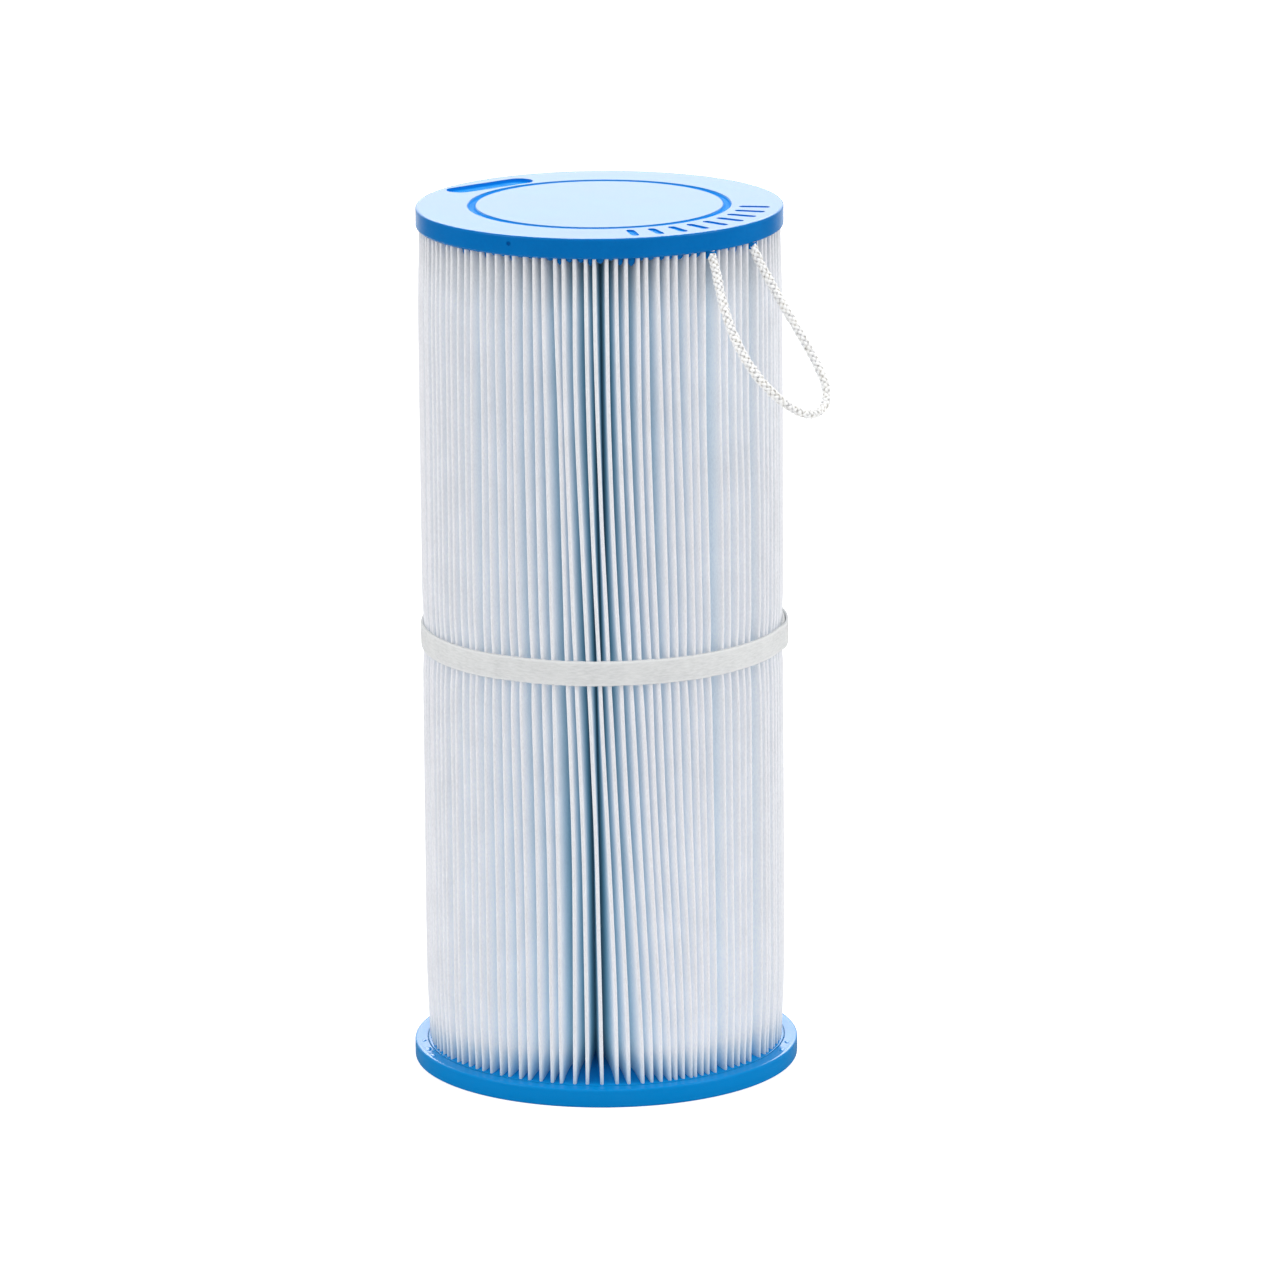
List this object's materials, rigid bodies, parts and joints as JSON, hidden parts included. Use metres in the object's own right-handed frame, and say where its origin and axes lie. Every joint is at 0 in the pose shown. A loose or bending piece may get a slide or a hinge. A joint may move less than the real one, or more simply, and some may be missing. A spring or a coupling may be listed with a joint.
{
  "type": "filter cartridge",
  "caption": "Pleated pool and spa filter cartridge with two cast end caps, a middle strap, a perforated core and a cord handle.",
  "frame": {"origin": "middle of the bottom cap's lower face, on the cartridge's axis", "axes": "+Z along the cartridge's axis towards the closed cap; -Y towards the viewer's side; the cord hangs at 43 degrees from +X towards -Y"},
  "size_m": [0.1436, 0.1331, 0.3],
  "materials": {
    "urethane": "satin cast urethane",
    "media": "spun-bonded polyester",
    "core": "moulded",
    "band": "felted strap",
    "bead": "hot melt",
    "cord": "braided"
  },
  "bodies": {
    "cartridge": {"top_end_cap": "urethane", "bottom_end_cap": "urethane", "pleated_media": "media", "core_tube": "core", "support_band": "band", "seam_bead": "bead", "rope_tail_front": "cord", "rope_tail_rear": "cord", "rope_root_front": "cord", "rope_root_rear": "cord"},
    "handle": {"rope_handle": "cord"}
  },
  "joints": [
    {"name": "handle_swing", "type": "hinge", "parent": "cartridge", "child": "handle", "pos_m": [0.04656, -0.04311, 0.28642], "axis": [-0.6794, -0.7337, 0], "range_deg": [-28, 146], "deforming": ["rope_root_front", "rope_root_rear"]}
  ]
}
